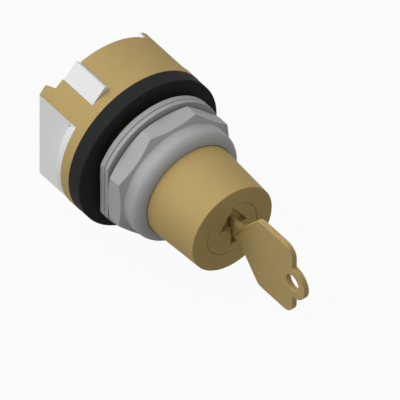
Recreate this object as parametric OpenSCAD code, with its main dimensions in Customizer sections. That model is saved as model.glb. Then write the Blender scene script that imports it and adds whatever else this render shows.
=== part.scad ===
// Key-operated three-position selector switch for a 30.5 mm panel hole, with no contact blocks fitted.
// The switch's axis lies along Y, with the key in front at -Y and +Z up. The origin is on that
// axis, in the plane where the gasket meets the rear face of the panel.
// Angles round the axis are degrees from the top, towards the left (-X) as the user sees it.

/* [Housing] */
// Outer radius of the cup, and of the gasket in front of it
housing_r = 20.65; // [20.4:0.05:20.9]
// Thickness of the cup's skirt
skirt_wall = 2; // [1.9:0.05:2.1]
// Thickness of the cup's front wall
front_wall = 3; // [2.8:0.1:3.2]
// Distance from the panel's rear face to the skirt's rear edge
skirt_end = 18; // [17.7:0.1:18.3]
// Distance from the panel's rear face to the tips of the rear tabs
tab_end = 20.8; // [20.4:0.1:21.2]
// Thickness of the rear tabs
tab_wall = 0.8; // [0.6:0.1:0.9]
// Angle of the left window's upper edge
window_upper = 50.8; // [50.4:0.1:51.2]
// Angle of the left window's lower edge
window_lower = 129.2; // [128.8:0.1:129.6]
// Radius over the bushing's thread
bushing_r = 15; // [14.9:0.05:15]
// Distance from the panel's rear face to the bushing's front end
bushing_len = 10.6; // [10.5:0.05:10.65]
// Radius of the bushing's bore, which takes the lock barrel
bushing_bore_r = 11.5; // [11.5:0.05:11.8]
// Radius at which the two contact block screws go into their bosses
boss_at = 16.4; // [16.3:0.05:16.5]
// Radius of the contact block screws' tapped holes
boss_hole_r = 1.65; // [1.5:0.05:1.8]

/* [Gasket and washers] */
// Thickness of the rubber gasket
gasket_t = 4; // [3.8:0.1:4.2]
// Clear gap for the panel
panel_gap = 2.1; // [2.06:0.02:2.12]
// Thickness of the rear washer
rear_washer_t = 1.5; // [1.45:0.01:1.52]
// Thickness of the front washer
front_washer_t = 1.3; // [1.25:0.01:1.32]
// Outer radius of both washers
washer_r = 17.75; // [17.5:0.05:18]
// Distance from the axis to the washers' flat
washer_flat = 15.9; // [15.7:0.05:16.2]

/* [Ring nut] */
// Distance across the octagon's flats
nut_flats = 32.6; // [32.4:0.1:33]
// Distance from the panel's rear face to the rear ends of the octagon's corners
nut_corner_rear = 6.2; // [6.1:0.05:6.3]
// Distance from the panel's rear face to the front ends of the octagon's corners
nut_corner_front = 9.4; // [9.3:0.05:9.5]
// Angle of the nut's chamfers from the face
nut_chamfer = 30; // [28:0.5:31]
// Radius of the collar in front of the octagon
collar_r = 15.5; // [15.45:0.05:15.6]
// Distance from the panel's rear face to the collar's front
collar_front = 15.7; // [15.5:0.1:15.9]
// Radius of the collar's rounded front edge
collar_round = 2.6; // [2.2:0.1:2.6]

/* [Lock barrel] */
// Distance from the panel's rear face to the lock's face
face_at = 31.9; // [31.5:0.1:32.2]
// Radius of the lock's face
face_r = 11.9; // [11.8:0.05:12]
// Radius of the barrel where it leaves the nut's collar
barrel_r = 12.73; // [12.7:0.01:12.75]
// Width of the fine bevel round the face and round the plug
fine_bevel = 0.14; // [0.1:0.01:0.2]
// Radius of the plug's front collar
plug_collar_r = 7.3; // [7.2:0.05:7.4]
// Radius of the plug behind its collar
plug_r = 6.5; // [6.45:0.05:6.55]
// Turn from the centre to either side position
throw_angle = 45; // [40:1:45]

/* [Arrow and keyway] */
// Sideways offset of the keyway, the arrow and the key
keyway_x = 0.3; // [0:0.05:0.4]
// Height of the arrow's tip above the axis
arrow_tip = 7.1; // [6.9:0.05:7.1]
// Height of the arrow head's base above the axis
arrow_base = 0.75; // [0.6:0.05:0.9]
// Half the width of the arrow's head
arrow_half = 4.1; // [3.9:0.05:4.2]
// Distance of the shaft's lower end below the axis
arrow_foot = 4.9; // [4.7:0.1:5.1]
// Depth of the arrow's recess
arrow_depth = 1.2; // [0.8:0.1:1.6]

/* [Key] */
// Thickness of the key
key_t = 1.45; // [1.4:0.01:1.46]
// Height of the key's centre line above the axis
key_z = 0.55; // [0.5:0.05:0.6]
// Half the height of the blade
blade_half = 2.75; // [2.7:0.05:2.8]
// Half the height of the bow
bow_half = 10.7; // [10:0.1:11.5]
// Distance from the lock's face to the foot of the bow's slopes
bow_start = 3.5; // [3.2:0.1:4]
// Distance from the lock's face to the head of the bow's slopes
bow_full = 10.35; // [9.5:0.1:11]
// Distance from the lock's face to the bow's end
bow_end = 23.2; // [22:0.1:24]
// Radius of the bow's end corners
bow_round = 3.2; // [2.5:0.1:3.6]
// Radius of the round ear
ear_r = 4.6; // [4.4:0.1:5]
// Radius of the hole for a key ring
ring_hole_r = 2.3; // [2.1:0.1:2.5]
// Travel that takes the blade clear of the lock
key_travel = 24; // [22:1:26]

/* [Wafers] */
// Thickness of a wafer
wafer_t = 1; // [0.9:0.05:1.05]
// Distance from one wafer to the next
wafer_pitch = 3; // [2.9:0.05:3]
// Distance from the lock's face to the first wafer
wafer_start = 3.9; // [3.8:0.05:4]
// Height of the key's five steps above the axis, from the bow to the tip
key_steps = [2.9, 2.5, 1.9, 1.5, 0.9];
// Travel of a wafer, down into the barrel's grooves, as the key comes out
wafer_drop = 0.9; // [0.7:0.05:0.95]

/* [Shaft and cam] */
// Radius of the drive shaft
shaft_r = 4; // [3.98:0.01:4.02]
// Width across the shaft's square end
shaft_square = 5.2; // [5.1:0.05:5.25]
// Radius of the cam's notched rim
cam_rim_r = 11.3; // [11.2:0.05:11.35]
// Radius of the cam's ramps
ramp_r = 10.9; // [10.5:0.1:11]
// Height of the ramps above the panel's rear face at the centre position
ramp_mid = 10.6; // [10.5:0.05:10.7]
// Travel of a plunger from the centre position to either side
plunger_travel = 1.25; // [1.1:0.05:1.25]
// Turn past each side position that the ramps go on for
ramp_spare = 10; // [8:1:12]

/* [Plungers] */
// Distance from the axis to each plunger
plunger_at = 8.75; // [8.7:0.05:8.8]
// Width of a plunger's square stem
stem_w = 3.2; // [3:0.1:3.2]
// Width of a plunger's square head
plunger_head_w = 5.7; // [5.6:0.05:5.8]
// Distance from the panel's rear face to the plungers' tips at rest
plunger_tip = 18.6; // [18.4:0.1:19]

/* [Cam housing] */
// Distance from the axis to the outer face of each side arm
arm_out = 16; // [15.95:0.05:16.2]
// Distance from the axis to the inner face of each side arm
arm_in = 14.7; // [14.6:0.05:14.8]
// Distance from the panel's rear face to the cam housing's rear wall
rear_face = 17; // [16.9:0.05:17.1]
// Thickness of the rear wall
rear_wall = 1.8; // [1.7:0.05:1.8]
// Radius of the cavity round the cam
cavity_r = 12.6; // [12.5:0.05:12.7]
// Angle of the key block's own radial direction
block_angle = 45; // [44:0.5:46]
// Distance from the axis to the key block's top
block_top = 20; // [19.8:0.05:20.2]
// Width of the key block
block_w = 5.4; // [5.2:0.1:5.5]
// Sideways distance of the key block from its radial direction
block_shift = 4.3; // [4.2:0.05:4.4]

/* [Hidden] */
WAFERS = [1:5];
$fn = 96;

// Colours, as the photograph shows them or as such pieces usually are
PASSIVATED = [0.71, 0.62, 0.41];
KEY_BRASS = [0.62, 0.54, 0.36];
STEEL = [0.66, 0.66, 0.66];
WHITE_NYLON = [0.92, 0.92, 0.92];
BLACK_RUBBER = [0.12, 0.12, 0.12];
BLACK_NYLON = [0.2, 0.2, 0.2];
SPRING_STEEL = [0.5, 0.5, 0.52];

// Fits: a close gap within one body, a running fit, and an easy gap round a loose piece
CLOSE = 0.05;
RUN = 0.05;
EASY = 0.1;
// How far a cutting shape runs past what it cuts
PAST = 1;

floor_y = gasket_t + front_wall;
nut_rear = panel_gap + rear_washer_t + front_washer_t + CLOSE;
nut_corner_r = nut_flats / 2 / cos(22.5);
face_y = -face_at;
barrel_rear = -5;
relief_r = bushing_r - 1;
core_r = housing_r - skirt_wall - 0.2;
upper_tab = [2.66, 3.6];
lower_tab = [2.02, 2.95];
plug_rear = -2.8;
ramp_rate = plunger_travel / throw_angle;
cavity_end = rear_face - rear_wall;
screw_at = 15.7;
screw_angles = [-35, 145];
blade_top = key_z + blade_half;
blade_bottom = key_z - blade_half;

// A solid turned about the switch's axis; its outline holds [radius, y] points
module turned() rotate([-90, 0, 0]) rotate_extrude() children();

// A rod along Y from y0 to y1
module rod(r, y0, y1) translate([0, y0, 0]) rotate([-90, 0, 0]) cylinder(r = r, h = y1 - y0);

// A front-view outline of [x, z] points, made solid from y0 to y1
module plate(y0, y1) translate([0, y1, 0]) rotate([90, 0, 0]) linear_extrude(y1 - y0) children();

// A box given by its two ends on each axis
module block(x, y, z) translate([x[0], y[0], z[0]]) cube([x[1] - x[0], y[1] - y[0], z[1] - z[0]]);

// Turns what points up so that it points out at an angle
module at_angle(a) rotate([0, -a, 0]) children();

// A point of the front view at a radius and an angle
function polar(r, a) = [-r * sin(a), r * cos(a)];

// A pie slice of the front view, for slices under 180 degrees
module slice(a0, a1) polygon([[0, 0], for (k = [0:0.25:1]) polar(3 * housing_r, a0 + k * (a1 - a0))]);

// Both side windows: the right one is the left one turned half way round
module both_windows(margin = 0) for (turn = [0, 180])
    slice(turn + window_upper + margin, turn + window_lower - margin);

// The arc that rounds the corner b of the path a, b, c
function unit(v) = v / norm(v);
function corner(a, b, c, r, steps = 8) =
    let (u = unit(a - b), v = unit(c - b), half = acos(u * v) / 2,
         o = b + unit(u + v) * r / sin(half), p = b + u * r / tan(half) - o,
         q = b + v * r / tan(half) - o, start = atan2(p.y, p.x),
         sweep = (atan2(q.y, q.x) - start + 540) % 360 - 180)
    [for (k = [0:steps]) o + r * [cos(start + sweep * k / steps), sin(start + sweep * k / steps)]];

// A closed outline of [point, corner radius] pairs, with its corners rounded
function rounded(path) = let (n = len(path)) [
    for (i = [0:n - 1]) each path[i][1] == 0 ? [path[i][0]] :
        corner(path[(i + n - 1) % n][0], path[i][0], path[(i + 1) % n][0], path[i][1])
];

// A compression spring along +Z, swept ring by ring along its helix
module coil(r, wire, turns, height, steps = 14, sides = 6) {
    rings = turns * steps;
    points = [
        for (k = [0:rings], s = [0:sides - 1])
            let (a = 360 * k / steps, b = 360 * s / sides, out = r + wire * cos(b))
            [out * cos(a), out * sin(a), wire + (height - 2 * wire) * k / rings + wire * sin(b)]
    ];
    walls = [
        for (k = [0:rings - 1], s = [0:sides - 1])
            let (a = k * sides + s, b = k * sides + (s + 1) % sides)
            each [[a, b, b + sides], [a, b + sides, a + sides]]
    ];
    ends = [[for (s = [sides - 1:-1:0]) s], [for (s = [0:sides - 1]) rings * sides + s]];
    polyhedron(points, concat(walls, ends), convexity = 6);
}

// Width of a rear tab at a distance from the panel's rear face; w holds its widths at tip and base
function tab_width(w, y) = w[1] - (w[1] - w[0]) * (y - skirt_end) / (tab_end - skirt_end);

// One rear tab: one edge is cut off with the window's edge, and the other slopes in to the tip
module rear_tab(angle, side, w) intersection() {
    difference() {
        rod(housing_r, floor_y + PAST, tab_end);
        rod(housing_r - tab_wall, floor_y, tab_end + PAST);
    }
    at_angle(angle) translate([0, 0, housing_r / 2]) linear_extrude(housing_r) polygon([
        [-side * PAST, skirt_end - PAST], [side * tab_width(w, skirt_end - PAST), skirt_end - PAST],
        [side * w[0], tab_end], [-side * PAST, tab_end]
    ]);
}

// Shoulder of the cam housing beside a rear tab's sloping edge, on a foot that stands on its rear wall
module tab_shoulder(angle, side, w) {
    low = skirt_end - PAST;
    high = tab_end + PAST;
    gap = 0.15;
    wide = 0.6;
    intersection() {
        rod(housing_r - 0.25, skirt_end + EASY, tab_end);
        at_angle(angle) translate([0, 0, core_r - PAST]) linear_extrude(housing_r) polygon([
            [side * (tab_width(w, low) + gap), low], [side * (tab_width(w, low) + gap + wide), low],
            [side * (tab_width(w, high) + gap + wide), high], [side * (tab_width(w, high) + gap), high]
        ]);
    }
    intersection() {
        rod(core_r, rear_face - PAST, tab_end);
        at_angle(angle) translate([0, 0, 15.5]) linear_extrude(housing_r) polygon([
            [side * (tab_width(w, high) - gap), low - PAST], [side * (tab_width(w, low) + 2 * wide), low - PAST],
            [side * (tab_width(w, low) + 2 * wide), high], [side * (tab_width(w, high) - gap), high]
        ]);
    }
}

// Die-cast cup and threaded bushing in one piece
module housing() color(PASSIVATED) {
    seal_r = 5.88;
    web_front = 1;
    seal_floor = 3;
    boss_r = 2.9;
    notch_half = 1.6;
    notch_depth = 1.6;
    relief_end = -1.1;
    difference() {
        union() {
            turned() polygon([
                [shaft_r + RUN, floor_y], [shaft_r + RUN, seal_floor], [seal_r, seal_floor],
                [seal_r, web_front], [bushing_bore_r, web_front],
                [bushing_bore_r, -bushing_len + 0.4], [bushing_bore_r + 0.4, -bushing_len],
                [bushing_r - 0.6, -bushing_len], [bushing_r, -bushing_len + 0.6],
                [bushing_r, relief_end - 0.9], [relief_r, relief_end], [relief_r, gasket_t],
                [housing_r, gasket_t], [housing_r, skirt_end],
                [housing_r - skirt_wall, skirt_end], [housing_r - skirt_wall, floor_y]
            ]);
            for (turn = [0, 180]) rotate([0, turn, 0]) {
                rear_tab(window_upper, 1, upper_tab);
                rear_tab(window_lower - 180, -1, lower_tab);
            }
            for (side = [-1, 1]) translate([0, 0, side * boss_at]) rod(boss_r, floor_y - PAST, rear_face - 0.2);
        }
        plate(floor_y, tab_end + PAST) both_windows();
        at_angle(block_angle) block(
            [block_shift - CLOSE, block_shift + block_w + CLOSE],
            [floor_y, skirt_end + PAST], [15.5, housing_r + PAST]
        );
        for (side = [-1, 1]) translate([0, 0, side * boss_at]) rod(boss_hole_r, floor_y + 1.5, rear_face);
        for (a = screw_angles) at_angle(a) translate([0, 0, screw_at]) rod(1.25, gasket_t + 0.9, floor_y + PAST);
        for (turn = [0, 180]) rotate([0, turn, 0]) block(
            [-notch_half, notch_half], [-bushing_len - PAST, -bushing_len + notch_depth],
            [bushing_bore_r - PAST, bushing_r + PAST]
        );
    }
}

// Rectangular key block that stands in the housing's small window
module key_block() at_angle(block_angle)
    block([block_shift, block_shift + block_w], [floor_y + CLOSE, skirt_end - 0.1], [15, block_top]);

// White moulded body: flange, flats, side arms, key block, and the cavity for the cam
module cam_housing() color(WHITE_NYLON) {
    flange_end = floor_y + 2.15;
    under_tab_r = housing_r - tab_wall - EASY;
    detent_z = 12;
    boss_gap_r = 3.1;
    front_y = floor_y + CLOSE;
    arms = 2 * arm_out;
    difference() {
        union() {
            plate(front_y, flange_end) {
                circle(core_r);
                intersection() {
                    circle(housing_r - 0.35);
                    both_windows(0.2);
                }
            }
            plate(flange_end - CLOSE, rear_face) intersection() {
                union() {
                    circle(core_r);
                    intersection() {
                        circle(housing_r - CLOSE);
                        both_windows(0.2);
                    }
                }
                square([arms, arms + 20], center = true);
            }
            plate(rear_face - PAST, tab_end) intersection() {
                circle(housing_r - CLOSE);
                both_windows(0.2);
                for (side = [-1, 1]) translate([side * (arm_in + arm_out) / 2, 0])
                    square([arm_out - arm_in, 3 * arm_out], center = true);
            }
            plate(skirt_end + EASY, tab_end) intersection() {
                circle(under_tab_r);
                for (side = [-1, 1]) translate([side * (arm_in + arm_out) / 2, 0])
                    square([arm_out - arm_in, 3 * arm_out], center = true);
            }
            key_block();
            for (turn = [0, 180]) rotate([0, turn, 0])
                tab_shoulder(window_lower - 180, -1, lower_tab);
        }
        for (turn = [0, 180]) rotate([0, turn, 0]) at_angle(window_upper + 2.8)
            block([-0.3, 0.3], [flange_end - 0.4, flange_end + 0.5], [17.2, housing_r + PAST]);
        rod(cavity_r, floor_y, cavity_end);
        rod(2.45, cavity_end - PAST, rear_face + PAST);
        for (side = [-1, 1]) {
            translate([side * plunger_at, 0, 0]) plate(cavity_end - PAST, rear_face + PAST)
                square(stem_w + 2 * EASY, center = true);
            plate(floor_y, rear_face + PAST) translate([0, side * boss_at]) {
                circle(boss_gap_r);
                translate([-boss_gap_r, min(0, side * 5)]) square([2 * boss_gap_r, 5]);
            }
            plate(floor_y, 9.1) {
                translate([0, side * detent_z]) square([16.6, 0.5], center = true);
                translate([0, side * (detent_z + 0.05)]) square([14.4, 1.2], center = true);
            }
        }
        for (a = screw_angles) at_angle(a) translate([0, 0, screw_at]) {
            rod(1.4, floor_y, rear_face + PAST);
            rod(2.4, rear_face - 2, rear_face + PAST);
        }
    }
}

// Rubber ring between the housing and the panel, held in the relief behind the bushing's thread
module panel_gasket() color(BLACK_RUBBER) {
    inner = relief_r + EASY;
    outer = housing_r - CLOSE;
    turned() polygon([
        [inner, 0.6], [bushing_r + EASY, 0], [outer - fine_bevel, 0], [outer, fine_bevel], [outer, gasket_t - fine_bevel],
        [outer - fine_bevel, gasket_t], [inner, gasket_t]
    ]);
}

// Thrust washer with one flat on its left side
module washer(front, thickness) color(STEEL) difference() {
    inner = bushing_r + 0.1;
    bevel = fine_bevel;
    turned() polygon([
        [inner, front], [washer_r - bevel, front], [washer_r, front + bevel],
        [washer_r, front + thickness - bevel], [washer_r - bevel, front + thickness],
        [inner, front + thickness]
    ]);
    block([-washer_r - PAST, -washer_flat], [front - PAST, front + thickness + PAST], [-washer_r, washer_r]);
}

// Octagonal nut and rounded collar in one, with a lip that holds the lock barrel
module ring_nut() color(STEEL) {
    thread_r = bushing_r + CLOSE;
    lip_r = barrel_r + 0.07;
    flange_gap_r = 14.45;
    lip_rear = -12.95;
    rise = tan(nut_chamfer);
    shoulder = -nut_corner_front - (nut_corner_r - collar_r) * rise;
    difference() {
        union() {
            intersection() {
                plate(shoulder - PAST, -nut_rear) rotate(22.5) circle(nut_corner_r, $fn = 8);
                turned() polygon([
                    [0, -nut_rear], [nut_corner_r - (nut_corner_rear - nut_rear) / rise, -nut_rear],
                    [nut_corner_r + PAST, -nut_corner_rear - PAST * rise],
                    [nut_corner_r + PAST, -nut_corner_front + PAST * rise],
                    [collar_r - PAST, shoulder - PAST * rise], [0, shoulder - PAST * rise]
                ]);
            }
            turned() {
                translate([0, -collar_front + collar_round])
                    square([collar_r, collar_front - collar_round + shoulder + PAST]);
                translate([0, -collar_front]) square([collar_r - collar_round, collar_round + PAST]);
                translate([collar_r - collar_round, -collar_front + collar_round]) circle(collar_round);
            }
        }
        rod(lip_r, -collar_front - PAST, lip_rear + PAST);
        rod(flange_gap_r, lip_rear, shoulder + PAST);
        rod(thread_r, -bushing_len, -nut_rear + PAST);
    }
}

// Tapered lock barrel: bore, locking grooves, flange with two lugs, and a grooved spigot
module lock_barrel() color(PASSIVATED) {
    bore_r = plug_r + RUN;
    spigot_r = bushing_bore_r - EASY;
    flange_r = 14.35;
    flange_front = -12.9;
    flange_rear = -bushing_len - CLOSE;
    seal_groove_r = 10.2;
    collar_depth = 1.95;
    lug_half = 1.5;
    groove_half = 1.65;
    groove_r = 7.7;
    difference() {
        union() {
            turned() polygon([
                [plug_collar_r + RUN + fine_bevel, face_y], [face_r - fine_bevel, face_y],
                [face_r, face_y + fine_bevel], [barrel_r, -collar_front], [barrel_r, flange_front],
                [flange_r, flange_front], [flange_r, flange_rear], [spigot_r, flange_rear],
                [spigot_r, -8.7], [seal_groove_r, -8.7], [seal_groove_r, -7.3], [spigot_r, -7.3],
                [spigot_r, barrel_rear - 0.4], [spigot_r - 0.4, barrel_rear], [bore_r, barrel_rear],
                [bore_r, face_y + collar_depth], [plug_collar_r + RUN, face_y + collar_depth],
                [plug_collar_r + RUN, face_y + fine_bevel]
            ]);
            for (turn = [0, 180]) rotate([0, turn, 0])
                block([-lug_half, lug_half], [flange_rear - PAST, flange_rear + 1.5], [spigot_r - PAST, 14.3]);
        }
        for (a = [-throw_angle, 0, throw_angle]) at_angle(a)
            block([-groove_half, groove_half], [face_y + 2.9, barrel_rear + PAST], [-groove_r, -plug_r + PAST]);
    }
}

// O-ring on the barrel's spigot
module barrel_seal() color(BLACK_RUBBER) turned() translate([10.85, -8]) circle(0.6);

function wafer_y(i) = face_y + wafer_start + (i - 1) * wafer_pitch;

// The part of the lock that turns: arrow recess, keyway, wafer slots, clip groove, driving slot
module lock_plug() color(PASSIVATED) difference() {
    slot_half = wafer_t / 2 + CLOSE;
    keyway_half = key_t / 2 + 0.065;
    groove = [-4.95, -4.1];
    turned() polygon([
        [0, face_y], [plug_collar_r - fine_bevel, face_y], [plug_collar_r, face_y + fine_bevel],
        [plug_collar_r, face_y + 1.9], [plug_r, face_y + 1.9], [plug_r, groove[0]], [5.3, groove[0]],
        [5.3, groove[1]], [plug_r, groove[1]], [plug_r, plug_rear], [0, plug_rear]
    ]);
    plate(face_y - PAST, face_y + arrow_depth) translate([keyway_x, 0]) {
        polygon([[0, arrow_tip], [-arrow_half, arrow_base], [arrow_half, arrow_base]]);
        translate([-keyway_half, -arrow_foot]) square([2 * keyway_half, arrow_foot + arrow_base + PAST]);
    }
    block([keyway_x - keyway_half, keyway_x + keyway_half], [face_y, face_y + 19.9],
        [blade_bottom - 0.08, blade_top + 0.08]);
    for (i = WAFERS) {
        y = wafer_y(i);
        block([-3.25, 3.25], [y - slot_half, y + slot_half], [-plug_r - PAST, plug_r + PAST]);
        block([3.2, 5.15], [y - 0.95, y + 0.95], [-2, 3.6]);
    }
    block([-1.25, 1.25], [-6.2, plug_rear + PAST], [-plug_r - PAST, plug_r + PAST]);
}

// C-clip in the plug's groove, against the barrel's rear face
module plug_clip() color(SPRING_STEEL) plate(-4.9, -4.15) difference() {
    circle(8.2);
    circle(5.35);
    translate([-3.4, -9]) square([6.8, 9]);
}

// Wafer tumbler: a plate with a window for the blade, a foot, and a lug for its spring
module wafer(i) color(KEY_BRASS) plate(wafer_y(i) - wafer_t / 2, wafer_y(i) + wafer_t / 2) difference() {
    intersection() {
        circle(plug_r - 0.08);
        union() {
            translate([-3.2, -4.2]) square([6.4, 8.8]);
            translate([-1.5, -plug_r]) square([3, plug_r]);
            translate([3, -1]) square([1.95, 1.4]);
        }
    }
    translate([keyway_x - 1, -2.6]) square([2, 2.6 + key_steps[i - 1] + CLOSE]);
}

// Spring that presses one wafer down, from its lug up to the roof of its pocket
module wafer_spring(i) color(SPRING_STEEL) translate([4.05, wafer_y(i), 0.42])
    coil(r = 0.6, wire = 0.1, turns = 5, height = 3.16, steps = 12, sides = 5);

// The key's outline: bow, straight neck, and a blade with one step for each wafer, each step
// lower than the one before, down to the bevelled tip
function key_outline() = let (
    flat = 0.9, tip_y = face_y + 19.5, top = key_z + bow_half, bottom = key_z - bow_half
) [
    for (i = WAFERS) each [
        [[wafer_y(i) - flat, key_steps[i - 1]], 0],
        [[wafer_y(i) + flat, key_steps[i - 1]], 0]
    ],
    [[tip_y, key_z - 0.9], 0],
    [[tip_y, key_z - 1.6], 0],
    [[tip_y - 1.2, blade_bottom], 0],
    [[face_y - bow_start, blade_bottom], 1],
    [[face_y - bow_full, bottom], 2.5],
    [[face_y - bow_end, bottom], bow_round],
    [[face_y - bow_end, top], bow_round],
    [[face_y - bow_full, top], 2.5],
    [[face_y - bow_start, blade_top], 1],
    [[wafer_y(1) - flat - 0.9, blade_top], 0]
];

// Flat key with an angular bow and a round ear
module key() color(KEY_BRASS) translate([keyway_x - key_t / 2, 0, 0]) rotate([90, 0, 90]) {
    ear_at = [face_y - bow_end, key_z + 0.2, 0];
    difference() {
        union() {
            linear_extrude(key_t) polygon(rounded(key_outline()));
            translate(ear_at) cylinder(r = ear_r, h = key_t);
        }
        translate(ear_at - [0, 0, PAST]) cylinder(r = ring_hole_r, h = key_t + 2 * PAST);
    }
}

// Shaft from the plug's slot through the housing's web to the cam
module drive_shaft() color(STEEL) {
    block([-1.2, 1.2], [-6, 0], [-5, 5]);
    rod(5.6, -1.2, 0.85);
    rod(shaft_r, 0, floor_y + 0.2);
    plate(floor_y, 12.6) square(shaft_square, center = true);
}

// O-ring round the drive shaft, in the web's counterbore
module shaft_seal() color(BLACK_RUBBER) turned() translate([4.95, 2.05]) circle(0.9);

// Height of the ramps round the cam: high at the top, low at the bottom, and even on both sides
function ramp_height(a) =
    let (past = throw_angle + ramp_spare, from_top = a < 180 ? a : 360 - a)
    ramp_mid + ramp_rate * max(-past, min(past, 90 - from_top));

// The cam's two helical ramps and the level stretches that join them, as one ring
module ramps(inner, outer, base, step = 5) {
    n = 360 / step;
    points = [
        for (k = [0:n - 1]) let (a = k * step, h = ramp_height(a), d = [-sin(a), cos(a)])
        each [
            [inner * d.x, base, inner * d.y], [outer * d.x, base, outer * d.y],
            [outer * d.x, h, outer * d.y], [inner * d.x, h, inner * d.y]
        ]
    ];
    faces = [
        for (k = [0:n - 1], s = [0:3])
            let (a = 4 * k + s, b = 4 * k + (s + 1) % 4, c = 4 * ((k + 1) % n))
            each [[b, a, c + s], [b, c + s, c + (s + 1) % 4]]
    ];
    polyhedron(points, faces, convexity = 4);
}

// Face cam on the drive shaft's square, with six detent notches in its rim
module rotary_cam() color(BLACK_NYLON) {
    front = floor_y + 0.3;
    rim_rear = 9;
    notch_r = 10.2;
    difference() {
        union() {
            difference() {
                rod(cam_rim_r, front, rim_rear);
                for (half = [0, 180], a = [-throw_angle, 0, throw_angle]) at_angle(half + a)
                    plate(front - PAST, rim_rear + PAST)
                        polygon([[0, notch_r], [3, notch_r + 1.6], [-3, notch_r + 1.6]]);
            }
            ramps(inner = 4.5, outer = ramp_r, base = rim_rear - CLOSE);
            rod(4.9, front, cavity_end - EASY);
            rod(2.4, front, rear_face - 0.4);
        }
        plate(front - PAST, 12.8) square(shaft_square + EASY, center = true);
    }
}

// Formed strip whose bump snaps into the cam's notches
module detent_spring(side) color(SPRING_STEEL) plate(floor_y + 0.1, 8.9) scale([1, side]) polygon([
    [-8, 12.2], [-2.55, 12.2], [0, 10.77], [2.55, 12.2], [8, 12.2],
    [8, 11.8], [2.65, 11.8], [0, 10.33], [-2.65, 11.8], [-8, 11.8]
]);

// Cam follower: a roof-shaped nose, a head for its spring, and a stem out through the rear wall
module plunger(side) color(BLACK_NYLON) translate([side * plunger_at, 0, 0]) {
    nose = ramp_mid + CLOSE;
    half = plunger_head_w / 2;
    eaves = nose + half * tan(25);
    head_rear = 12.6;
    bevel = 0.4;
    translate([-half, 0, 0]) rotate([90, 0, 90]) linear_extrude(plunger_head_w)
        polygon([[nose, 0], [eaves, half], [head_rear, half], [head_rear, -half], [eaves, -half]]);
    plate(head_rear - CLOSE, plunger_tip - bevel) square(stem_w, center = true);
    plate(plunger_tip - bevel - CLOSE, plunger_tip) square(stem_w - 2 * bevel, center = true);
}

// Return spring round a plunger's stem, from its head to the rear wall
module plunger_spring(side) color(SPRING_STEEL) translate([side * plunger_at, 12.62, 0])
    rotate([-90, 0, 0]) coil(r = 2.55, wire = 0.19, turns = 3, height = cavity_end - 12.64, steps = 16);

// Slotted cheese-head screw that holds the cam housing in the housing
module housing_screw(angle) color(STEEL) at_angle(angle) translate([0, 0, screw_at]) difference() {
    union() {
        rod(1.2, gasket_t + 1, rear_face - 1.9);
        rod(2.25, rear_face - 1.95, rear_face - 0.15);
    }
    block([-0.35, 0.35], [rear_face - 0.9, rear_face + PAST], [-3, 3]);
}

housing();
cam_housing();
panel_gasket();
washer(-panel_gap - rear_washer_t, rear_washer_t);  // rear_washer
washer(-nut_rear + CLOSE, front_washer_t);  // front_washer
ring_nut();
lock_barrel();
barrel_seal();
lock_plug();
plug_clip();
for (i = WAFERS) wafer(i);
for (i = WAFERS) wafer_spring(i);
key();
drive_shaft();
shaft_seal();
rotary_cam();
detent_spring(1);  // detent_spring_top
detent_spring(-1);  // detent_spring_bottom
plunger(-1);  // plunger_left
plunger(1);  // plunger_right
plunger_spring(-1);  // plunger_spring_left
plunger_spring(1);  // plunger_spring_right
housing_screw(screw_angles[0]);  // housing_screw_upper
housing_screw(screw_angles[1]);  // housing_screw_lower
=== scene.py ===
import math

import bmesh
import bpy
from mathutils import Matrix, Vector


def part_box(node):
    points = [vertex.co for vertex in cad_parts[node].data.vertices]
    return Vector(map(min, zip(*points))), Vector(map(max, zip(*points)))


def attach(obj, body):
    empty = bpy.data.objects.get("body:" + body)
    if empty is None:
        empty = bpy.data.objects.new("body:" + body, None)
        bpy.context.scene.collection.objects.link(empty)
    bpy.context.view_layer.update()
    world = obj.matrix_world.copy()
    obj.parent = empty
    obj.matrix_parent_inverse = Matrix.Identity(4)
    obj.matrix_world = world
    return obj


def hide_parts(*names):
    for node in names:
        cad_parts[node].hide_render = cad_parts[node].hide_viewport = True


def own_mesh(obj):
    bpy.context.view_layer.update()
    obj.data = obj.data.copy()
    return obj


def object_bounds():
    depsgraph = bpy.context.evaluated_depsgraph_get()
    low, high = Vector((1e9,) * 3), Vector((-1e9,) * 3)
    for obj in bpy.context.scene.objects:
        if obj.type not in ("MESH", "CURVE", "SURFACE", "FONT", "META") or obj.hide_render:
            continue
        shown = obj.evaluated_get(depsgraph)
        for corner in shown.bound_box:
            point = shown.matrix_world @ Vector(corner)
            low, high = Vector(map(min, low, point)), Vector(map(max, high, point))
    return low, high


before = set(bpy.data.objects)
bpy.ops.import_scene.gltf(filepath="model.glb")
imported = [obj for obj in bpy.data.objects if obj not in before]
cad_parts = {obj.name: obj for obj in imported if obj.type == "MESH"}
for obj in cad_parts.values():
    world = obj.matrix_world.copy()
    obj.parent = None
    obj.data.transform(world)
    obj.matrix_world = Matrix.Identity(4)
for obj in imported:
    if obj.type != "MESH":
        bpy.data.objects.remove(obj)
cad_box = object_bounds()
MM = 0.001


# Housing
# The cup and the threaded bushing are one zinc die casting, dipped in yellow chromate. The windows
# and the rear tabs are cast in, and the two bosses for the contact block's screws are tapped.

def srgb(r, g, b):
    """A colour as it is seen on a screen, from 0 to 255, as the shader wants it."""
    shares = [code / 255 for code in (r, g, b)]
    return tuple(s / 12.92 if s <= 0.04045 else ((s + 0.055) / 1.055) ** 2.4 for s in shares) + (1.0,)


def feed(tree, socket, value):
    """Links another node's output to a socket, or sets a plain value on it."""
    if isinstance(value, bpy.types.NodeSocket):
        tree.links.new(value, socket)
    else:
        socket.default_value = value


def node(tree, kind, **inputs):
    """One node of a tree, with its inputs set or linked by name."""
    made = tree.nodes.new(kind)
    for name, value in inputs.items():
        feed(tree, made.inputs[name.replace("_", " ")], value)
    return made


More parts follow.
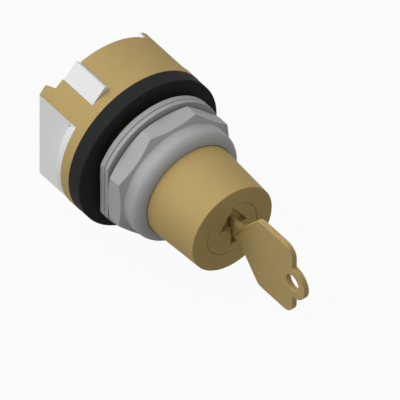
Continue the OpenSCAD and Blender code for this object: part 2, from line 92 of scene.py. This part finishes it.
def maths(tree, operation, *values):
    """The output of one Math node."""
    made = tree.nodes.new("ShaderNodeMath")
    made.operation = operation
    for socket, value in zip(made.inputs, values):
        feed(tree, socket, value)
    return made.outputs[0]


def shader_group(name, inputs, outputs):
    """An empty shader node group with named number inputs and outputs."""
    group = bpy.data.node_groups.new(name, "ShaderNodeTree")
    for label, value in inputs.items():
        socket = group.interface.new_socket(label, in_out="INPUT", socket_type="NodeSocketFloat")
        socket.default_value = value
    for label in outputs:
        group.interface.new_socket(label, in_out="OUTPUT", socket_type="NodeSocketFloat")
    return group, group.nodes.new("NodeGroupInput").outputs, group.nodes.new("NodeGroupOutput").inputs


def placed(tree, group, **inputs):
    """A group's outputs where it stands in a material, with its own values."""
    made = tree.nodes.new("ShaderNodeGroup")
    made.node_tree = group
    for name, value in inputs.items():
        made.inputs[name.replace("_", " ")].default_value = value
    return made.outputs


COMMON_SHADES = (0.3, 0.7)


def spread(tree, shade, low, high):
    """The shades that most of a noise has, spread from low to high."""
    return node(tree, "ShaderNodeMapRange", Value=shade, From_Min=COMMON_SHADES[0],
                From_Max=COMMON_SHADES[1], To_Min=low, To_Max=high).outputs["Result"]


def mixed(tree, factor, a, b):
    """A colour between a and b."""
    made = tree.nodes.new("ShaderNodeMix")
    made.data_type = "RGBA"
    for number, value in ((0, factor), (6, a), (7, b)):
        feed(tree, made.inputs[number], value)
    return made.outputs[2]


def finish_material(name, metallic, specular):
    """A material, its tree, and the sockets of its surface shader."""
    material = bpy.data.materials.new(name)
    material.use_nodes = True
    tree = material.node_tree
    shader = tree.nodes["Principled BSDF"].inputs
    shader["Metallic"].default_value = metallic
    shader["Specular IOR Level"].default_value = specular
    return material, tree, shader


def surfaced(tree, shader, shade, dark, light, roughness, wear=None, rubbed=None):
    """Spreads a shade over a surface's colour and roughness, with worn edges in a colour of their own."""
    colour = mixed(tree, spread(tree, shade, 0.0, 1.0), dark, light)
    if wear:
        colour = mixed(tree, wear, colour, rubbed)
    tree.links.new(colour, shader["Base Color"])
    tree.links.new(spread(tree, shade, *roughness), shader["Roughness"])


def raised(tree, shader, height, depth):
    """Raises the surface by a height from 0 to 1, times a depth in metres."""
    made = node(tree, "ShaderNodeBump", Height=height, Strength=1.0, Distance=depth)
    tree.links.new(made.outputs["Normal"], shader["Normal"])


# A fine and a coarse mottle, as on anything cast or moulded
cast_grain, given, result = shader_group(
    "cast grain", {"Fine Scale": 4000.0, "Coarse Scale": 300.0}, ("Shade", "Height"))
place = node(cast_grain, "ShaderNodeTexCoord").outputs["Object"]
fine = node(cast_grain, "ShaderNodeTexNoise", Vector=place, Scale=given["Fine Scale"],
            Detail=3.0, Roughness=0.6).outputs["Fac"]
coarse = node(cast_grain, "ShaderNodeTexNoise", Vector=place, Scale=given["Coarse Scale"],
              Detail=4.0, Roughness=0.55).outputs["Fac"]
shade = maths(cast_grain, "MULTIPLY_ADD", coarse, 0.65, maths(cast_grain, "MULTIPLY", fine, 0.35))
cast_grain.links.new(shade, result["Shade"])
cast_grain.links.new(fine, result["Height"])

# Eased edges where handling has rubbed them, broken up into patches
edge_wear, given, result = shader_group("edge wear", {"Amount": 0.5, "Patch Scale": 900.0}, ("Mask",))
eased_faces = edge_wear.nodes.new("ShaderNodeAttribute")
eased_faces.attribute_name = "eased"
place = node(edge_wear, "ShaderNodeTexCoord").outputs["Object"]
patches = node(edge_wear, "ShaderNodeTexNoise", Vector=place, Scale=given["Patch Scale"], Detail=3.0)
patchy = node(edge_wear, "ShaderNodeMapRange", Value=patches.outputs["Fac"],
              From_Min=0.35, From_Max=0.65).outputs["Result"]
rubbed = maths(edge_wear, "MULTIPLY", maths(edge_wear, "MULTIPLY", eased_faces.outputs["Fac"], patchy),
               given["Amount"])
edge_wear.links.new(rubbed, result["Mask"])

chromate_casting, tree, shader = finish_material("chromate casting", metallic=0.12, specular=0.05)
grain = placed(tree, cast_grain, Fine_Scale=5200.0, Coarse_Scale=240.0)
wear = placed(tree, edge_wear, Amount=0.4, Patch_Scale=1200.0)["Mask"]
surfaced(tree, shader, grain["Shade"], srgb(185, 160, 104), srgb(191, 166, 111),
         roughness=(0.58, 0.68), wear=wear, rubbed=srgb(206, 190, 148))
raised(tree, shader, grain["Height"], depth=0.004 * MM)


def plain_mesh(piece):
    """Puts what a piece's modifiers make into its mesh, and takes the modifiers off."""
    bpy.context.scene.collection.objects.link(piece)
    bpy.context.view_layer.update()
    shaped = piece.evaluated_get(bpy.context.evaluated_depsgraph_get())
    mesh = bpy.data.meshes.new_from_object(shaped)
    piece.modifiers.clear()
    piece.data = mesh
    return piece


SAME_POINT = 0.002 * MM
FLAT_ANGLE = math.radians(0.3)
EASED_ANGLE = math.radians(25)
SHADED_ANGLE = math.radians(50)


def eased_copy(solid, width, trim=None):
    """A copy of a solid, trimmed first if need be, with its sharp edges eased by a width in
    millimetres and marked for edge wear."""
    bm = bmesh.new()
    bm.from_mesh(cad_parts[solid].data)
    bmesh.ops.remove_doubles(bm, verts=bm.verts, dist=SAME_POINT)
    if trim:
        trim(bm)
    bmesh.ops.dissolve_limit(bm, angle_limit=FLAT_ANGLE, verts=bm.verts, edges=bm.edges)
    edges = [e for e in bm.edges if len(e.link_faces) == 2 and e.calc_face_angle(0) > EASED_ANGLE]
    worn = bm.faces.layers.float.new("eased")
    made = bmesh.ops.bevel(bm, geom=edges, offset=width * MM, offset_type="OFFSET", segments=2,
                           profile=0.5, affect="EDGES", clamp_overlap=True)
    for face in made["faces"]:
        face[worn] = 1.0
    for face in bm.faces:
        face.smooth = True
    mesh = bpy.data.meshes.new(solid)
    bm.to_mesh(mesh)
    bm.free()
    mesh.set_sharp_from_angle(angle=SHADED_ANGLE)
    piece = bpy.data.objects.new("eased_" + solid, mesh)
    weighted = piece.modifiers.new("even shading", "WEIGHTED_NORMAL")
    weighted.keep_sharp = True
    return plain_mesh(piece)


def coated(piece, material, body, solids):
    """Gives a piece its material and its body, and lets it stand for the solids it replaces."""
    piece.data.materials.clear()
    piece.data.materials.append(material)
    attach(piece, body)
    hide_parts(*solids)


coated(eased_copy("housing", width=0.1), chromate_casting, "mounted", ["housing"])


# Gasket
# A plain black rubber ring, moulded with a slight bevel. It sits in the relief behind the bushing's
# thread, and is pressed between the cup and the panel.

black_rubber, tree, shader = finish_material("black rubber", metallic=0.0, specular=0.1)
grain = placed(tree, cast_grain, Fine_Scale=2600.0, Coarse_Scale=420.0)
surfaced(tree, shader, grain["Shade"], srgb(38, 38, 39), srgb(45, 45, 45),
         roughness=(0.7, 0.85))
raised(tree, shader, grain["Height"], depth=0.012 * MM)


def recoated(solids, material):
    """Gives solids that stay as they are their finished material."""
    for solid in solids:
        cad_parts[solid].data.materials.clear()
        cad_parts[solid].data.materials.append(material)


recoated(["panel_gasket"], black_rubber)


# Thrust washers
# Two washers punched from steel sheet and zinc plated, with one flat each. They lie loose on the
# bushing, between the panel and the ring nut.

zinc_plate, tree, shader = finish_material("zinc plate", metallic=0.1, specular=0.05)
grain = placed(tree, cast_grain, Fine_Scale=3800.0, Coarse_Scale=500.0)
wear = placed(tree, edge_wear, Amount=0.35, Patch_Scale=1400.0)["Mask"]
surfaced(tree, shader, grain["Shade"], srgb(175, 175, 176), srgb(181, 181, 181),
         roughness=(0.5, 0.62), wear=wear, rubbed=srgb(200, 200, 200))
raised(tree, shader, grain["Height"], depth=0.003 * MM)

recoated(["rear_washer"], zinc_plate)

WASHER_GAP = 0.14 * MM
REAR_SIDE = 0.3 * MM
washer_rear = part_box("front_washer")[1][1]


def loose(bm):
    """Sets the front washer's rear side off from the washer behind it."""
    for vert in bm.verts:
        if vert.co.y > washer_rear - REAR_SIDE:
            vert.co.y -= WASHER_GAP


coated(eased_copy("front_washer", width=0.05, trim=loose), zinc_plate, "mounted",
       ["front_washer"])


# Ring nut
# An octagonal nut and a rounded collar, turned in one from steel bar and zinc plated. It screws onto
# the bushing, and its lip holds the lock barrel.

turned_lines, given, result = shader_group("turned lines", {"Line Scale": 5000.0}, ("Shade", "Height"))
place = node(turned_lines, "ShaderNodeSeparateXYZ",
             Vector=node(turned_lines, "ShaderNodeTexCoord").outputs["Object"]).outputs
z_squared = maths(turned_lines, "MULTIPLY", place["Z"], place["Z"])
radius = maths(turned_lines, "SQRT",
               maths(turned_lines, "MULTIPLY_ADD", place["X"], place["X"], z_squared))
ring = node(turned_lines, "ShaderNodeCombineXYZ", X=radius, Y=place["Y"]).outputs["Vector"]
lines = node(turned_lines, "ShaderNodeTexNoise", Vector=ring, Scale=given["Line Scale"],
             Detail=2.0, Roughness=0.5).outputs["Fac"]
turned_lines.links.new(lines, result["Shade"])
turned_lines.links.new(lines, result["Height"])

turned_zinc, tree, shader = finish_material("turned zinc plate", metallic=0.1, specular=0.05)
grain = placed(tree, cast_grain, Fine_Scale=3800.0, Coarse_Scale=380.0)["Shade"]
lathe = placed(tree, turned_lines, Line_Scale=4200.0)
wear = placed(tree, edge_wear, Amount=0.4, Patch_Scale=1100.0)["Mask"]
both = maths(tree, "MULTIPLY_ADD", lathe["Shade"], 0.5, maths(tree, "MULTIPLY", grain, 0.5))
surfaced(tree, shader, both, srgb(174, 175, 176), srgb(182, 182, 182),
         roughness=(0.5, 0.62), wear=wear, rubbed=srgb(202, 202, 202))
raised(tree, shader, lathe["Height"], depth=0.003 * MM)

coated(eased_copy("ring_nut", width=0.1), turned_zinc, "mounted", ["ring_nut"])


# Lock barrel and its seal
# The barrel is turned brass, dipped like the housing, with its front taper left smooth. A rubber
# O-ring in its groove seals it in the bushing, and two lugs keep it from turning.

turned_chromate, tree, shader = finish_material("turned chromate", metallic=0.12, specular=0.05)
grain = placed(tree, cast_grain, Fine_Scale=5200.0, Coarse_Scale=300.0)["Shade"]
lathe = placed(tree, turned_lines, Line_Scale=4800.0)
wear = placed(tree, edge_wear, Amount=0.45, Patch_Scale=1300.0)["Mask"]
both = maths(tree, "MULTIPLY_ADD", lathe["Shade"], 0.5, maths(tree, "MULTIPLY", grain, 0.5))
surfaced(tree, shader, both, srgb(184, 159, 103), srgb(190, 165, 109),
         roughness=(0.55, 0.66), wear=wear, rubbed=srgb(208, 190, 145))
raised(tree, shader, lathe["Height"], depth=0.003 * MM)

coated(eased_copy("lock_barrel", width=0.06), turned_chromate, "mounted",
       ["lock_barrel"])
recoated(["barrel_seal"], black_rubber)


# Lock plug and its clip
# The part of the lock that turns with the key, with the keyway and a sunk arrow in its face. A clip of
# spring wire in its rear groove holds it in the barrel.

coated(eased_copy("lock_plug", width=0.06), turned_chromate, "rotor",
       ["lock_plug"])

drawn_grain, given, result = shader_group(
    "drawn grain", {"Fine Scale": 6000.0, "Stretch": 12.0}, ("Shade", "Height"))
squeeze = node(drawn_grain, "ShaderNodeCombineXYZ", X=1.0, Z=1.0,
               Y=maths(drawn_grain, "DIVIDE", 1.0, given["Stretch"])).outputs["Vector"]
stretched = drawn_grain.nodes.new("ShaderNodeVectorMath")
stretched.operation = "MULTIPLY"
feed(drawn_grain, stretched.inputs[0], node(drawn_grain, "ShaderNodeTexCoord").outputs["Object"])
feed(drawn_grain, stretched.inputs[1], squeeze)
streaks = node(drawn_grain, "ShaderNodeTexNoise", Vector=stretched.outputs["Vector"],
               Scale=given["Fine Scale"], Detail=4.0, Roughness=0.6).outputs["Fac"]
drawn_grain.links.new(streaks, result["Shade"])
drawn_grain.links.new(streaks, result["Height"])

spring_steel, tree, shader = finish_material("spring steel", metallic=0.85, specular=0.5)
streaks = placed(tree, drawn_grain, Fine_Scale=7000.0, Stretch=6.0)
surfaced(tree, shader, streaks["Shade"], srgb(120, 120, 123), srgb(150, 150, 150),
         roughness=(0.26, 0.4))
raised(tree, shader, streaks["Height"], depth=0.002 * MM)

recoated(["plug_clip"], spring_steel)


# Wafers and their springs
# Five brass wafers stamped from strip slide in the plug's slots, and the key's blade lifts them out
# of the barrel's groove. Each is pushed down by a small coil of spring wire beside it.

key_brass, tree, shader = finish_material("key brass", metallic=0.12, specular=0.05)
streaks = placed(tree, drawn_grain, Fine_Scale=4200.0, Stretch=14.0)
wear = placed(tree, edge_wear, Amount=0.5, Patch_Scale=1500.0)["Mask"]
surfaced(tree, shader, streaks["Shade"], srgb(181, 158, 103), srgb(188, 164, 109),
         roughness=(0.52, 0.64), wear=wear, rubbed=srgb(205, 186, 140))
raised(tree, shader, streaks["Height"], depth=0.004 * MM)

WAFER_NUMBERS = range(1, 6)
recoated(["wafer_%d" % i for i in WAFER_NUMBERS], key_brass)

# A coil of wire wound round an axis, put at each point of the mesh that carries it
wound_coil = bpy.data.node_groups.new("wound coil", "GeometryNodeTree")
coil_inputs = {}
for label, kind, value in (("Places", "Geometry", None), ("Turned By", "Vector", (0.0, 0.0, 0.0)),
                           ("Coil Radius", "Float", 0.6 * MM), ("Wire Radius", "Float", 0.1 * MM),
                           ("Turns", "Float", 5.0), ("Length", "Float", 3.0 * MM),
                           ("Points on Coil", "Int", 80), ("Wire Sides", "Int", 8),
                           ("Wire Material", "Material", None)):
    socket = wound_coil.interface.new_socket(label, in_out="INPUT", socket_type="NodeSocket" + kind)
    coil_inputs[label] = socket.identifier
    if value is not None:
        socket.default_value = value
wound_coil.interface.new_socket("Coils", in_out="OUTPUT", socket_type="NodeSocketGeometry")
given = wound_coil.nodes.new("NodeGroupInput").outputs
spiral = node(wound_coil, "GeometryNodeCurveSpiral", Resolution=given["Points on Coil"],
              Rotations=given["Turns"], Start_Radius=given["Coil Radius"],
              End_Radius=given["Coil Radius"], Height=given["Length"])
wire = node(wound_coil, "GeometryNodeCurvePrimitiveCircle", Resolution=given["Wire Sides"],
            Radius=given["Wire Radius"])
coil = node(wound_coil, "GeometryNodeCurveToMesh", Curve=spiral.outputs[0],
            Profile_Curve=wire.outputs[0], Fill_Caps=True)
coils = node(wound_coil, "GeometryNodeInstanceOnPoints", Points=given["Places"],
             Instance=coil.outputs[0], Rotation=given["Turned By"])
whole = node(wound_coil, "GeometryNodeRealizeInstances", Geometry=coils.outputs[0])
drawn = node(wound_coil, "GeometryNodeSetMaterial", Geometry=whole.outputs[0],
             Material=given["Wire Material"])
wound_coil.links.new(drawn.outputs[0], wound_coil.nodes.new("NodeGroupOutput").inputs[0])


def coils_at(name, places, **values):
    """Coils of wire at the given places, as one plain mesh."""
    mesh = bpy.data.meshes.new(name)
    mesh.from_pydata(places, [], [])
    piece = bpy.data.objects.new(name, mesh)
    winding = piece.modifiers.new("winding", "NODES")
    winding.node_group = wound_coil
    for label, value in values.items():
        winding[coil_inputs[label.replace("_", " ")]] = value
    plain_mesh(piece)
    bm = bmesh.new()
    bm.from_mesh(piece.data)
    bmesh.ops.recalc_face_normals(bm, faces=bm.faces)
    for face in bm.faces:
        face.smooth = True
    bm.to_mesh(piece.data)
    bm.free()
    return piece


WAFER_SPRING_WIRE = 0.1 * MM
wafer_springs = ["wafer_spring_%d" % i for i in WAFER_NUMBERS]
feet = []
for spring in wafer_springs:
    low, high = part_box(spring)
    feet.append(((low[0] + high[0]) / 2, (low[1] + high[1]) / 2, low[2] + WAFER_SPRING_WIRE))
windings = coils_at("wound_wafer_springs", feet, Coil_Radius=0.6 * MM, Wire_Radius=WAFER_SPRING_WIRE,
                    Turns=5.0, Length=2.96 * MM, Points_on_Coil=100, Wire_Sides=8,
                    Wire_Material=spring_steel)
coated(windings, spring_steel, "rotor", wafer_springs)


# Key
# Stamped from brass sheet with an angular bow and a round ear for its ring. Its blade has one cut for
# each wafer, and is milled thinner on the left from just in front of the lock.

BLADE_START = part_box("lock_plug")[0][1] - 1.25 * MM
BLADE_CUT = 0.55 * MM
STEP_WIDTH = 0.02 * MM
NEAR = STEP_WIDTH / 2
key_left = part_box("key")[0][0]


def milled(bm):
    """Cuts the left side of the blade back, with a square step where the bow begins."""
    for y in (BLADE_START, BLADE_START + STEP_WIDTH):
        bmesh.ops.bisect_plane(bm, geom=bm.verts[:] + bm.edges[:] + bm.faces[:], dist=1e-7,
                               plane_co=(0, y, 0), plane_no=(0, 1, 0))
    for vert in bm.verts:
        if vert.co.y > BLADE_START + NEAR and vert.co.x < key_left + NEAR:
            vert.co.x += BLADE_CUT
            if vert.co.y < BLADE_START + STEP_WIDTH + NEAR:
                vert.co.y = BLADE_START


coated(eased_copy("key", width=0.12, trim=milled), key_brass, "key", ["key"])


# Drive shaft and its seal
# A zinc-plated steel shaft with a tongue in the plug's slot and a square end in the cam. It passes
# through the housing's web, where a rubber O-ring seals it.

recoated(["drive_shaft"], turned_zinc)
recoated(["shaft_seal"], black_rubber)


# Rotary cam
# A face cam moulded from black nylon, pushed onto the shaft's square. Its two ramps drive the
# plungers, and its rim has the notches for the detent.

black_nylon, tree, shader = finish_material("black nylon", metallic=0.0, specular=0.35)
grain = placed(tree, cast_grain, Fine_Scale=3000.0, Coarse_Scale=600.0)
wear = placed(tree, edge_wear, Amount=0.25, Patch_Scale=1500.0)["Mask"]
surfaced(tree, shader, grain["Shade"], srgb(42, 42, 43), srgb(50, 50, 50),
         roughness=(0.36, 0.48), wear=wear, rubbed=srgb(84, 84, 84))
raised(tree, shader, grain["Height"], depth=0.006 * MM)

recoated(["rotary_cam"], black_nylon)


# Detent strips
# Two strips of spring steel, bent to a point in the middle. They lie in slots of the cam housing and
# snap into the cam's notches.

recoated(["detent_spring_top", "detent_spring_bottom"], spring_steel)


# Plungers and their springs
# Two cam followers moulded from black nylon, each with a roof-shaped nose on its ramp and a stem out
# through the rear wall. A coil round the stem keeps the nose on the ramp.

for side in ("left", "right"):
    coated(eased_copy("plunger_" + side, width=0.15), black_nylon, "plunger_" + side,
           ["plunger_" + side])

PLUNGER_SPRING_WIRE = 0.19 * MM
for side in ("left", "right"):
    spring = "plunger_spring_" + side
    low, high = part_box(spring)
    foot = ((low[0] + high[0]) / 2, low[1] + PLUNGER_SPRING_WIRE, 0.0)
    winding = coils_at("wound_" + spring, [foot], Turned_By=(-math.pi / 2, 0.0, 0.0),
                       Coil_Radius=2.55 * MM, Wire_Radius=PLUNGER_SPRING_WIRE, Turns=3.0,
                       Length=2.18 * MM, Points_on_Coil=96, Wire_Sides=10, Wire_Material=spring_steel)
    coated(winding, spring_steel, "mounted", [spring])
    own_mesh(winding)


# Cam housing
# White nylon, moulded in one with its flange, side arms and key block. It stands in the cup, carries
# the detent strips and the plungers, and shows through the windows.

white_nylon, tree, shader = finish_material("white nylon", metallic=0.0, specular=0.2)
grain = placed(tree, cast_grain, Fine_Scale=3200.0, Coarse_Scale=260.0)
wear = placed(tree, edge_wear, Amount=0.3, Patch_Scale=1000.0)["Mask"]
surfaced(tree, shader, grain["Shade"], srgb(238, 239, 239), srgb(243, 243, 243),
         roughness=(0.5, 0.62), wear=wear, rubbed=srgb(249, 249, 249))
raised(tree, shader, grain["Height"], depth=0.005 * MM)

coated(eased_copy("cam_housing", width=0.1), white_nylon, "mounted", ["cam_housing"])


# Housing screws
# Two slotted cheese-head screws of zinc-plated steel, driven through the cam housing from behind into
# the cup's floor.

for screw in ("housing_screw_upper", "housing_screw_lower"):
    coated(eased_copy(screw, width=0.08), zinc_plate, "mounted", [screw])


# Floor, light and camera
# A pale floor under the switch, soft light from above on the left and a little behind, and a
# camera with no perspective, from the front, the left and above.

FLOOR_HALF = 1.5
FLOOR_DROP = 0.2 * MM
FLOOR_GREY = 0.3
FLOOR_GLOW_SHARE = 0.95
SKY_LIGHT = 0.356
SUN_POWER = 2.1
SUN_SPREAD = math.radians(90)
SUN_RAYS = Vector((0.427, -0.559, -0.711))
AIM = Vector((-2.945, -23.40, 4.768)) * MM
VIEW = Vector((-0.4349, -0.5514, 0.7119))
VIEW_WIDTH = 93.8 * MM
CAMERA_DISTANCE = 0.5


def seen_or_mirrored(tree):
    """1 where the camera looks, straight or by way of a shine or a clear piece, and 0 for other light."""
    path = tree.nodes.new("ShaderNodeLightPath").outputs
    return maths(tree, "MAXIMUM", path["Is Camera Ray"],
                 maths(tree, "MAXIMUM", path["Is Glossy Ray"], path["Is Transmission Ray"]))


def set_up(name, data):
    """A new object of the scene, at the origin."""
    thing = bpy.data.objects.new(name, data)
    bpy.context.scene.collection.objects.link(thing)
    return thing


bm = bmesh.new()
for x, y in ((-1, -1), (1, -1), (1, 1), (-1, 1)):
    bm.verts.new((x * FLOOR_HALF, y * FLOOR_HALF, cad_box[0][2] - FLOOR_DROP))
bm.faces.new(bm.verts)
mesh = bpy.data.meshes.new("floor")
bm.to_mesh(mesh)
bm.free()
floor = set_up("floor", mesh)
floor_paper = bpy.data.materials.new("floor paper")
floor_paper.use_nodes = True
tree = floor_paper.node_tree
tree.nodes.clear()
matt = node(tree, "ShaderNodeBsdfDiffuse", Color=(FLOOR_GREY, FLOOR_GREY, FLOOR_GREY, 1.0))
glow = node(tree, "ShaderNodeEmission", Color=srgb(255, 255, 255), Strength=1.0)
blend = tree.nodes.new("ShaderNodeMixShader")
feed(tree, blend.inputs[0], maths(tree, "MULTIPLY", seen_or_mirrored(tree), FLOOR_GLOW_SHARE))
feed(tree, blend.inputs[1], matt.outputs[0])
feed(tree, blend.inputs[2], glow.outputs[0])
node(tree, "ShaderNodeOutputMaterial", Surface=blend.outputs[0])
floor.data.materials.append(floor_paper)

world = bpy.data.worlds.new("studio")
bpy.context.scene.world = world
world.use_nodes = True
tree = world.node_tree
sky = mixed(tree, seen_or_mirrored(tree), (SKY_LIGHT, SKY_LIGHT, SKY_LIGHT, 1.0), srgb(251, 251, 251))
tree.links.new(sky, tree.nodes["Background"].inputs["Color"])

lamp = bpy.data.lights.new("studio lamp", "SUN")
lamp.energy = SUN_POWER
lamp.angle = SUN_SPREAD
sun = set_up("studio lamp", lamp)
sun.rotation_euler = SUN_RAYS.to_track_quat("-Z", "Y").to_euler()

lens = bpy.data.cameras.new("camera")
lens.type = "ORTHO"
lens.ortho_scale = VIEW_WIDTH
lens.clip_start = 0.01
lens.clip_end = 5.0
camera = set_up("camera", lens)
camera.location = AIM + VIEW * CAMERA_DISTANCE
camera.rotation_euler = (-VIEW).to_track_quat("-Z", "Y").to_euler()
bpy.context.scene.camera = camera
bpy.context.scene.view_settings.view_transform = "Standard"
